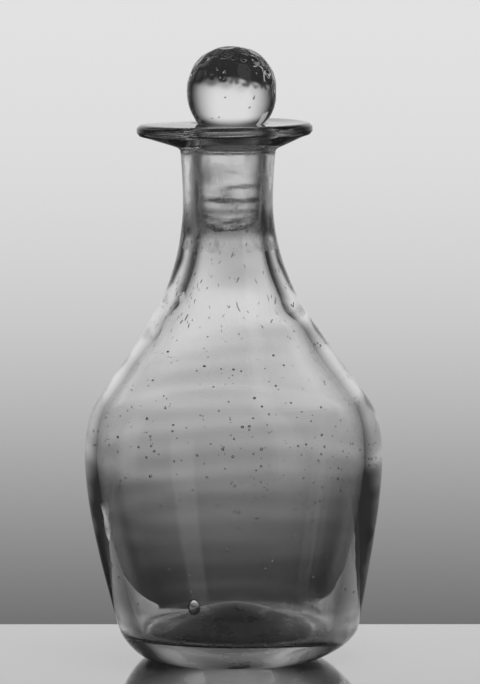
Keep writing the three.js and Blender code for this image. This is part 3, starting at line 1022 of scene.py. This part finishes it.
def air():
    """The skin of a bubble: glass outside and air inside."""
    material, tree, shader = new_material("seed_air")
    tree.nodes.remove(shader)
    skin = node(tree, "ShaderNodeBsdfGlass")
    skin.inputs["IOR"].default_value = AIR_IN_GLASS_IOR
    skin.inputs["Roughness"].default_value = 0
    tree.links.new(skin.outputs["BSDF"], tree.nodes["Material Output"].inputs["Surface"])
    return material


def panel(tree, bearing, middle, half_widths, tone):
    """A tone near one bearing that fades to nothing between two half widths."""
    off_middle = math_node(tree, "ABSOLUTE", math_node(tree, "SUBTRACT", bearing, middle))
    return ramp(tree, off_middle, *half_widths, tone, 0)


def backdrop_glow():
    """Pale above the table's level and dark below it, with panels where the other views look."""
    material, tree, shader = new_material("backdrop_glow")
    tree.nodes.remove(shader)
    place = node(tree, "ShaderNodeNewGeometry").outputs["Position"]
    x, y, height = coordinates(tree, place)
    bearing = math_node(tree, "ARCTAN2", x, y)
    either_way = math_node(tree, "ABSOLUTE", bearing)
    rise = math_node(tree, "SUBTRACT", height, GLOW_MIDDLE_HEIGHT)
    fall = math_node(tree, "EXPONENT", math_node(tree, "DIVIDE", rise, -GLOW_SOFTNESS))
    glow = math_node(tree, "DIVIDE", BACKDROP_PALE, math_node(tree, "ADD", fall, 1))
    side = panel(tree, bearing, SIDE_PANEL_BEARING, SIDE_PANEL_HALF_WIDTHS, SIDE_PANEL_TONE)
    share = math_node(tree, "MAXIMUM", ramp(tree, either_way, *DARKENING_BEARINGS, 1, DARK_TONE), side)
    share = math_node(tree, "MINIMUM", share, ramp(tree, either_way, *FRONT_BEARINGS, 1, FRONT_TONE))
    upper = ramp(tree, height, *GLOW_END_HEIGHTS, 1, CEILING_SHARE)
    glow = math_node(tree, "MULTIPLY", glow, share, upper)
    low = ramp(tree, height, *BACK_PANEL_LOW_HEIGHTS, PANEL_TONE, 0)
    high = ramp(tree, height, *BACK_PANEL_HIGH_HEIGHTS, 0, PANEL_TONE)
    back = panel(tree, bearing, BACK_PANEL_BEARING, BACK_PANEL_HALF_WIDTHS, 1)
    back = math_node(tree, "MULTIPLY", back, math_node(tree, "MAXIMUM", low, high))
    front = panel(tree, bearing, FRONT_PANEL_BEARING, FRONT_PANEL_HALF_WIDTHS, PANEL_TONE)
    lamp = node(tree, "ShaderNodeEmission")
    tree.links.new(math_node(tree, "MAXIMUM", glow, back, front, LEAST_GLOW), lamp.inputs["Strength"])
    tree.links.new(lamp.outputs["Emission"], tree.nodes["Material Output"].inputs["Surface"])
    return material


def table_finish():
    """A glossy table top that mirrors what stands on it."""
    material, _, shader = new_material("pale_table")
    shader.inputs["Base Color"].default_value = TABLE_COLOUR
    shader.inputs["Roughness"].default_value = TABLE_ROUGHNESS
    shader.inputs["IOR"].default_value = TABLE_IOR
    shader.inputs["Coat Weight"].default_value = TABLE_COAT
    shader.inputs["Coat Roughness"].default_value = TABLE_COAT_ROUGHNESS
    return material


# Studio.
def make_backdrop():
    """A round room: wall, floor far below the table, and ceiling."""
    floor_edge = (BACKDROP_RADIUS, BACKDROP_FOOT)
    ceiling_edge = (BACKDROP_RADIUS, BACKDROP_TOP)
    profile = [(0, BACKDROP_FOOT), floor_edge, ceiling_edge, (0, BACKDROP_TOP)]
    surface = spin(evenly(profile, BACKDROP_ROW_SPACING), BACKDROP_SEGMENTS)
    room = closed_mesh("backdrop", surface / MM)
    room.data.materials.append(backdrop_glow())


def make_table():
    bpy.ops.mesh.primitive_cube_add(size=1)
    table = bpy.context.object
    table.name = "table"
    table.scale = (2 * TABLE_HALF_WIDTH, TABLE_BACK - TABLE_FRONT, TABLE_THICKNESS)
    table.location = (0, (TABLE_BACK + TABLE_FRONT) / 2, -TABLE_THICKNESS / 2)
    bpy.ops.object.transform_apply(location=True, rotation=True, scale=True)
    edge = table.modifiers.new("edge", "BEVEL")
    edge.width = TABLE_EDGE_ROUND
    edge.segments = TABLE_EDGE_SEGMENTS
    table.data.shade_smooth()
    table.data.materials.append(table_finish())


def make_camera():
    data = bpy.data.cameras.new("camera")
    data.sensor_width = SENSOR
    data.lens = SENSOR * FOCAL_PIXELS / IMAGE_HEIGHT
    camera = bpy.data.objects.new("camera", data)
    camera.location = CAMERA_PLACE
    camera.rotation_euler = (math.pi / 2 + CAMERA_PITCH, 0, CAMERA_YAW)
    scene.collection.objects.link(camera)
    scene.camera = camera


def make_light():
    """A large soft light overhead, which the glass neither mirrors nor lets through."""
    data = bpy.data.lights.new("top_light", "AREA")
    data.shape = "DISK"
    data.size = LAMP_SIZE
    data.energy = LAMP_POWER
    lamp = bpy.data.objects.new("top_light", data)
    lamp.location = LAMP_PLACE
    lamp.visible_glossy = False
    lamp.visible_transmission = False
    scene.collection.objects.link(lamp)


def set_render_look():
    scene.view_settings.view_transform = "Standard"
    scene.view_settings.look = "None"
    scene.world = bpy.data.worlds.new("studio_dark")
    scene.cycles.max_bounces = ALL_BOUNCES
    scene.cycles.transmission_bounces = GLASS_BOUNCES
    scene.cycles.glossy_bounces = GLOSS_BOUNCES
    scene.cycles.transparent_max_bounces = CLEAR_BOUNCES


make_camera()
set_render_look()
make_backdrop()
make_table()
make_light()

vessel_glass = vessel_finish()
stopper_glass = stopper_finish()
seed_air = air()

vessel = closed_mesh("blown_vessel", np.concatenate((vessel_outside(), vessel_cavity()[1:])))
vessel.data.materials.append(vessel_glass)
vessel.data.materials.append(pontil_finish())
shade_and_wear_pontil(vessel.data)
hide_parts("vessel")
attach(vessel, "vessel")

stopper = closed_mesh("ball_stopper", stopper_surface())
stopper.data.materials.append(stopper_glass)
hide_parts("stopper")
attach(stopper, "stopper")

bubbles = vessel_seeds()
bubbles.data.materials.append(seed_air)
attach(bubbles, "vessel")

specks = stopper_seeds()
specks.data.materials.append(seed_air)
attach(specks, "stopper")
